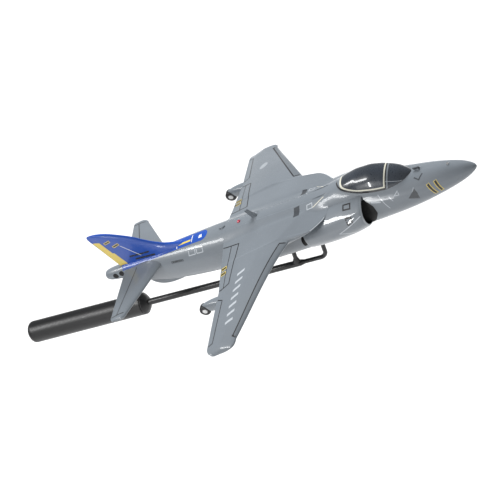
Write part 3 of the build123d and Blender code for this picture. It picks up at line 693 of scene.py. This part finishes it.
# Marks on the nose, in and round the intakes and on the rear fuselage, the same on both sides.
mouth_front = steady_curve([-10.5, -7.4, -3.7, 1.2, 5.5, 9.4, 12.6],
                           [86.0, 81.5, 78.4, 75.6, 75.6, 77.6, 80.0])
mouth = []
for z in np.linspace(12.6, -10.5, 40):
    mouth.append([(s, z) for s in np.linspace(float(mouth_front(z)), 97, 26)])
for view in ("right", "left"):
    block("dark", [(50.0, 3.0), (43.2, 7.8), (42.2, 4.4), (43.0, -0.6)], view=view, tree=on_hull)
    line("pale_grey", [(43.6, 8.4), (45.6, 5.8)], 0.6, view=view, tree=on_hull)
    outline("pale", [(58.4, 8.3), (55.1, 10.3), (54.8, 7.8)], 0.45, view=view, tree=on_hull)
    line("pale", [(69.0, 12.3), (65.7, 0.7)], 0.5, view=view, tree=on_hull)
    line("pale", [(62.0, 8.9), (60.7, 5.4)], 0.5, view=view, tree=on_hull)
    # The short wide pale bar on the hull side under the canopy is a painted highlight.
    line("pale", [(75.4, 9.2), (69.8, 7.6)], 1.1, view=view, tree=on_hull)
    outline("black", [(90.2, 10.2), (94.2, 10.4), (94.0, 6.0), (90.4, 5.8)], 0.9, view=view)
    # Near-black patch on the hull side inside the intake mouth: black paint, with painted shade of the
    # intake laid over it.
    lay("soot", mouth, view, on_hull, OVER_LIFT)
    line("pale", [(83.5, 8.6), (103.4, 1.1), (86.0, -7.0)], 0.7, view=view)
    edged_bar((31.5, -1.8), (33.2, 6.0), 1.6, view=view, tree=on_hull)
    edged_bar((26.9, -1.4), (27.8, 6.0), 1.6, view=view, tree=on_hull)
    for k in range(3):
        line("dark", [(231 + 3.3 * k, 7.5), (233.2 + 3.3 * k, 7.6)], 1.5, view=view, tree=on_hull)
    for hatch in ([(212.2, 12.6), (217.4, 12.7), (217.6, 9.6), (212.6, 9.7)],
                  [(218.8, 12.7), (223.8, 12.6), (224.4, 9.3), (219.0, 9.5)]):
        outline("pale", hatch, 0.6, view=view, tree=on_hull)
    disc("soot", (289.4, 6.4), 2.1, view=view, tree=on_hull)
    disc("soot", (283.9, 7.0), 2.1, view=view, tree=on_hull)

# Plain bars in a row along the right wing, a plain disc on the left, and edged bars on the flaps.
BARS = 7
for k in range(BARS):
    t = k / (BARS - 1)
    s0, y0 = 174.6 + 9.2 * t, -(44.6 + 34.4 * t)
    block("pale", [(s0 - 3.4, y0 + 1.5), (s0 + 3.4, y0 - 0.3), (s0 + 3.8, y0 - 2.1), (s0 - 3.0, y0 - 0.3)])
disc("pale_grey", (179.6, 65.6), 3.6)
edged_bar((190.4, -33.8), (194.2, -34.5), 1.4)
edged_bar((190.9, -37.8), (194.7, -38.5), 1.4)
edged_bar((189.4, 27.0), (193.4, 26.4), 1.4)
edged_bar((190.0, 31.0), (194.0, 30.4), 1.4)

# Blue spine band running into the fin, with its yellow bar and white ticks, then the marks on the fin.
BAND_W = 4.9            # half width; the front end is a half circle
BAND_FRONT = 212.6
band = []
for s in [207.72, 207.9, 208.3, 209, 210, 211, BAND_FRONT] + list(range(214, 284, 2)):
    ahead = max(0.0, BAND_FRONT - s) / BAND_W
    half = BAND_W * math.sqrt(max(0.0, 1 - ahead ** 2))
    band.append([(s, half * k) for k in np.linspace(-1, 1, 13)])
lay("blue", band, "top", on_hull, PAINT_LIFT)
line("yellow", [(222.4, -1.6), (231.6, -1.8)], 1.6, tree=on_hull, lift=BAND_LIFT)
line("white", [(220.6, -3.2), (220.6, 2.8)], 0.6, tree=on_hull, lift=BAND_LIFT)
line("white", [(233.4, -4.2), (233.4, 0.6)], 0.6, tree=on_hull, lift=BAND_LIFT)
block("white", [(212.0, -2.2), (214.8, -2.4), (214.6, 0.4), (212.4, 0.6)], tree=on_hull, lift=BAND_LIFT)
for view in ("right", "left"):
    block("yellow", [(285.0, 36.6), (290.2, 37.6), (286.8, 24.0), (281.6, 24.0)], view=view, tree=on_fin)
    block("yellow", [(280.4, 24.0), (286.8, 24.0), (283.4, 10.4), (276.4, 10.4)], view=view, tree=on_fin)
    line("white", [(271.8, 29.3), (262.4, 16.1)], 0.45, view=view, tree=on_fin)
    edged_bar((277.6, 35.6), (281.2, 34.6), 1.2, view=view, tree=on_fin)
    edged_bar((272.8, 31.2), (276.8, 30.0), 1.2, view=view, tree=on_fin)
    for row in range(2):
        for k in range(4):
            s0, z0 = 255.5 + 4.2 * k - 3.0 * row, 17.4 - 3.6 * row
            line("black", [(s0, z0), (s0 + 2.6, z0)], 1.5, view=view, tree=on_fin)

# Thin pale line across each side of the windscreen.
for view in ("right", "left"):
    line("pale_grey", [(50.4, 13.8), (60.0, 18.6)], 0.35, view=view, tree=on_canopy)

# The paint laid so far becomes one piece for each colour.
for colour, (verts, faces) in paints.items():
    mesh = bpy.data.meshes.new(f"paint_{colour}")
    mesh.from_pydata([tuple(v) for v in verts], [], faces)
    mesh.shade_smooth()
    layer = bpy.data.objects.new(f"paint_{colour}", mesh)
    bpy.context.collection.objects.link(layer)
    craft(outward(layer), slot="fin_blue" if colour == "blue" else "body_grey")

# ---- materials ------------------------------------------------------------


class Nodes:
    """Small helper for building one material's nodes."""

    def __init__(self, name):
        self.mat = bpy.data.materials.new(name)
        self.mat.use_nodes = True
        self.tree = self.mat.node_tree
        self.bsdf = self.tree.nodes["Principled BSDF"]
        self.place = self.add("ShaderNodeTexCoord").outputs["Object"]

    def add(self, kind, **settings):
        node = self.tree.nodes.new(kind)
        for key, value in settings.items():
            setattr(node, key, value)
        return node

    def link(self, a, b):
        self.tree.links.new(a, b)

    def scaled(self, by):
        m = self.add("ShaderNodeMapping")
        m.inputs["Scale"].default_value = by
        self.link(self.place, m.inputs["Vector"])
        return m.outputs["Vector"]

    def noise(self, scale, detail=3.0, rough=0.5, stretch=None):
        n = self.add("ShaderNodeTexNoise")
        n.inputs["Scale"].default_value = scale
        n.inputs["Detail"].default_value = detail
        n.inputs["Roughness"].default_value = rough
        self.link(self.scaled(stretch) if stretch else self.place, n.inputs["Vector"])
        return n.outputs["Fac"]

    def span(self, value, low, high, out_low, out_high):
        """Stretch one range of values onto another, clamped at both ends."""
        r = self.add("ShaderNodeMapRange")
        for key, v in (("From Min", low), ("From Max", high), ("To Min", out_low), ("To Max", out_high)):
            r.inputs[key].default_value = v
        self.link(value, r.inputs["Value"])
        return r.outputs["Result"]

    def attribute(self, name):
        a = self.add("ShaderNodeAttribute", attribute_name=name)
        return a.outputs["Fac"]

    def mix(self, factor, a, b):
        """Mix of two colours; each input is a number, a colour or another node's output."""
        m = self.add("ShaderNodeMix", data_type="RGBA")
        for value, socket in ((factor, m.inputs["Factor"]), (a, m.inputs["A"]), (b, m.inputs["B"])):
            if isinstance(value, (tuple, list)):
                socket.default_value = (*value, 1) if len(value) == 3 else value
            elif isinstance(value, (int, float)):
                socket.default_value = value
            else:
                self.link(value, socket)
        return m.outputs["Result"]

    def maths(self, kind, a, b=0.0, c=0.0):
        m = self.add("ShaderNodeMath", operation=kind)
        for value, socket in ((a, m.inputs[0]), (b, m.inputs[1]), (c, m.inputs[2])):
            if isinstance(value, (int, float)):
                socket.default_value = value
            else:
                self.link(value, socket)
        return m.outputs[0]

    def bump(self, layers):
        """layers: (height, strength, distance) each added over the last."""
        normal = None
        for height, strength, distance in layers:
            b = self.add("ShaderNodeBump")
            b.inputs["Strength"].default_value = strength
            b.inputs["Distance"].default_value = distance
            self.link(height, b.inputs["Height"])
            if normal:
                self.link(normal, b.inputs["Normal"])
            normal = b.outputs["Normal"]
        self.link(normal, self.bsdf.inputs["Normal"])


def shade(colour, by):
    """A colour made lighter or darker."""
    return tuple(min(1.0, c * by) for c in colour)


def lacquer(name, colour, rough=0.42, coat=0.8, coat_rough=0.04, vary=0.06, grain=0.25, dust=0.35,
            colour_in=None):
    """Sprayed paint over carved wood under clear lacquer: faint blotches, orange peel,
    brushed grain showing through and tiny dust nibs. colour_in is a function that makes
    the colour from nodes and is used in place of colour."""
    n = Nodes(name)
    cloud = n.noise(28, 4, 0.6)
    fine = n.noise(900, 2, 0.5)
    base = colour_in(n) if colour_in else colour
    tint = n.mix(n.span(cloud, 0.3, 0.7, 0, 1), (1 - vary,) * 3, (1 + vary * 0.6,) * 3)
    mul = n.add("ShaderNodeMix", data_type="RGBA", blend_type="MULTIPLY")
    mul.inputs["Factor"].default_value = 1
    if isinstance(base, tuple):
        mul.inputs["A"].default_value = (*base, 1)
    else:
        n.link(base, mul.inputs["A"])
    n.link(tint, mul.inputs["B"])
    nib = n.span(n.noise(2600, 1, 0.4), 0.74, 0.78, 0, dust)
    n.link(n.mix(nib, mul.outputs["Result"], (0.55,) * 3), n.bsdf.inputs["Base Color"])
    n.link(n.span(fine, 0.3, 0.7, rough - 0.05, rough + 0.07), n.bsdf.inputs["Roughness"])
    n.bsdf.inputs["Coat Weight"].default_value = coat
    n.bsdf.inputs["Coat Roughness"].default_value = coat_rough
    n.bsdf.inputs["Coat IOR"].default_value = 1.5
    grain_h = n.noise(1, 4, 0.6, stretch=(40, 420, 420))
    peel = n.noise(380, 2, 0.5)
    n.bump([(grain_h, grain, 0.00012), (peel, 0.12, 0.00008)])
    return n.mat


def bare(name, colour, rough, metal=0.0, scratch=0.2):
    """Plain metal or satin finish with fine scratches and uneven gloss."""
    n = Nodes(name)
    cloud = n.noise(90, 4, 0.6)
    lines = n.noise(1, 3, 0.6, stretch=(60, 2400, 2400))
    tone = n.mix(n.span(cloud, 0.3, 0.7, 0, 1), shade(colour, 0.85), shade(colour, 1.15))
    n.link(tone, n.bsdf.inputs["Base Color"])
    n.link(n.span(cloud, 0.3, 0.7, rough - 0.06, rough + 0.08), n.bsdf.inputs["Roughness"])
    n.bsdf.inputs["Metallic"].default_value = metal
    n.bump([(lines, scratch, 0.00006)])
    return n.mat


GREY = (0.150, 0.170, 0.191)
BLACK = (0.010, 0.010, 0.011)
CREAM = (0.60, 0.585, 0.49)
GLASS = (0.020, 0.026, 0.036)


def canopy_colour(n):
    """Smoked glass inside a cream line and a black outer line, split by the raked bow.
    edge is the distance outside the hull, bow the distance aft of the bow line and rear
    half the distance ahead of the back of the glass."""
    edge, bow, rear = n.attribute("edge"), n.attribute("bow"), n.attribute("rear")
    haze = n.mix(n.span(n.noise(45, 3), 0.3, 0.7, 0, 1), shade(GLASS, 0.85), shade(GLASS, 1.3))
    inset = n.maths("SMOOTH_MIN", n.maths("SUBTRACT", edge, 1.2), rear, 1.2)
    aft = n.span(bow, -0.05, 0.05, 0, 1)
    glass = n.maths("MULTIPLY", n.span(inset, 0.62, 0.75, 0, 1), n.span(bow, 1.0, 1.12, 0, 1))
    rim = n.maths("MULTIPLY", n.span(inset, -0.05, 0.1, 0, 1), n.span(bow, -0.05, 0.1, 0, 1))
    hood = n.mix(n.span(edge, 1.1, 1.25, 0, 1), BLACK, GREY)
    hood = n.mix(rim, hood, CREAM)
    hood = n.mix(glass, hood, haze)
    front = n.mix(n.span(bow, -1.1, -0.95, 0, 1), GREY, BLACK)
    front = n.mix(n.span(bow, -2.4, -2.25, 0, 1), BLACK, front)
    front = n.mix(n.span(bow, -2.8, -2.65, 0, 1), haze, front)
    front = n.mix(n.span(edge, 0.1, 0.25, 0, 1), BLACK, front)
    return n.mix(aft, front, hood)


def chipped_black(n):
    """Black enamel with small coppery chips."""
    chips = n.span(n.noise(150, 2, 0.4), 0.80, 0.82, 0, 1)
    return n.mix(chips, (0.008, 0.008, 0.0085), (0.32, 0.14, 0.08))


looks = {
    "grey": lacquer("grey_lacquer", GREY, coat=0.45, coat_rough=0.11),
    "cowl": lacquer("cowl_lacquer", GREY, coat=1.0, coat_rough=0.02, grain=0.1),
    "blue": lacquer("blue_lacquer", (0.005, 0.056, 0.33), rough=0.38, coat=0.4),
    "strip": lacquer("strip_grey", shade(GREY, 0.80), coat=0.6),
    "canopy": lacquer("canopy_lacquer", GLASS, rough=0.3, coat_rough=0.02, vary=0.03, grain=0.0, dust=0.0,
                      colour_in=canopy_colour),
    "black": lacquer("black_marking", (0.012, 0.012, 0.013), coat=0.5),
    "dark": lacquer("dark_marking", (0.040, 0.045, 0.052), coat=0.5),
    "pale": lacquer("pale_marking", (0.40, 0.43, 0.46), coat=0.5),
    "pale_grey": lacquer("pale_grey_marking", (0.27, 0.295, 0.32), coat=0.5),
    "white": lacquer("white_marking", (0.7, 0.7, 0.7), coat=0.5),
    "cream": lacquer("cream_marking", CREAM, coat=0.5),
    "yellow": lacquer("yellow_marking", (0.62, 0.47, 0.085), coat=0.5),
    "grip": lacquer("grip_lacquer", (0.005, 0.005, 0.0055), rough=0.42, coat=0.1, coat_rough=0.3, vary=0.3,
                    grain=0.0, dust=0.02),
    "wire": lacquer("wire_enamel", (0.006, 0.006, 0.0065), rough=0.34, coat=0.0, vary=0.3, grain=0.05,
                    dust=0.05, colour_in=chipped_black),
    # Near-black rough finish: soot on the nozzles and tail ports, and black paint with painted shade
    # inside the intakes.
    "soot": bare("soot_black", (0.004, 0.004, 0.0045), 0.8),
    "tyre": bare("tyre_black", (0.010, 0.010, 0.011), 0.5),
    "hub": lacquer("hub_white", (0.6, 0.6, 0.6), coat=0.5),
    "red": lacquer("beacon_red", (0.36, 0.02, 0.045), rough=0.3),
    "metal": bare("bright_metal", (0.75, 0.75, 0.75), 0.25, metal=1.0),
    "wood": lacquer("bare_wood", (0.36, 0.20, 0.09), rough=0.6, coat=0.1, vary=0.3, grain=0.6),
    "brass": bare("brass", (0.60, 0.42, 0.16), 0.3, metal=1.0),
}

# First match by the start of a piece's name; anything else is grey. A paint layer takes its colour's look.
LOOK_OF = (
    ("paint_", None), ("lip_line", "pale_grey"), ("handle", "grip"), ("main_rod", "wire"),
    ("fork_wire", "wire"), ("rear_post", "wire"), ("post_weld", "wire"), ("canopy", "canopy"),
    ("fin_skin", "blue"), ("fin_pin", "metal"), ("stab_pin", "metal"), ("outrigger_tyre", "tyre"),
    ("outrigger_hub", "hub"), ("front_nozzle", "soot"), ("rear_nozzle", "soot"), ("intake_wall", "soot"),
    ("beacon", "red"), ("nose_stud", "metal"), ("yaw_vane", "dark"), ("wing_dowel", "wood"),
    ("prong_bush", "brass"), ("intake_cowl", "cowl"), ("blade_antenna", "strip"),
)
for o in list(bpy.data.objects):
    if o.type != "MESH":
        continue
    look = "grey"
    for start, name in LOOK_OF:
        if o.name.startswith(start):
            look = name or o.name[len("paint_"):]
            break
    o.data.materials.clear()
    o.data.materials.append(looks[look])

# ---- stage ----------------------------------------------------------------
FLOOR_Z = -0.20
FLOOR_EDGE = 6
reach = (-FLOOR_EDGE, 0, FLOOR_EDGE)
floor = skin("floor", [[(x, y, FLOOR_Z) for y in reach] for x in reach], wrap=False)
floor_look = Nodes("floor_white")
floor_tone = floor_look.mix(floor_look.span(floor_look.noise(3), 0.3, 0.7, 0, 1), (0.65,) * 3, (0.67,) * 3)
floor_look.link(floor_tone, floor_look.bsdf.inputs["Base Color"])
floor_look.bsdf.inputs["Roughness"].default_value = 0.9
floor.data.materials.append(floor_look.mat)

scene = bpy.context.scene
scene.view_settings.view_transform = "Standard"
world = scene.world or bpy.data.worlds.new("world")
scene.world = world
world.use_nodes = True
background = world.node_tree.nodes["Background"]
background.inputs["Color"].default_value = (0.97, 0.985, 1.0, 1)
background.inputs["Strength"].default_value = 0.35


def softbox(name, way, distance, size, power, aim=(0.18, 0, 0.02)):
    """Square-edged light that looks back at the aim from a direction and distance, in metres."""
    light = bpy.data.lights.new(name, "AREA")
    light.shape = "RECTANGLE"
    light.size, light.size_y = size
    light.energy = power
    o = bpy.data.objects.new(name, light)
    bpy.context.collection.objects.link(o)
    o.location = Vector(aim) + Vector(way).normalized() * distance
    o.rotation_mode = "QUATERNION"
    o.rotation_quaternion = (-Vector(way)).to_track_quat("-Z", "Y")
    return o


key = softbox("overhead_left", (-0.05, 0.75, 0.66), 2.2, (1.6, 1.2), 84)
key.visible_glossy = False
softbox("side_box", (-0.34, -0.92, 0.20), 1.4, (0.10, 0.62), 6, aim=(0.26, -0.01, 0.047))
softbox("top_box", (-0.56, -0.34, 0.75), 1.5, (1.10, 0.22), 15, aim=(0.24, -0.02, 0.04))
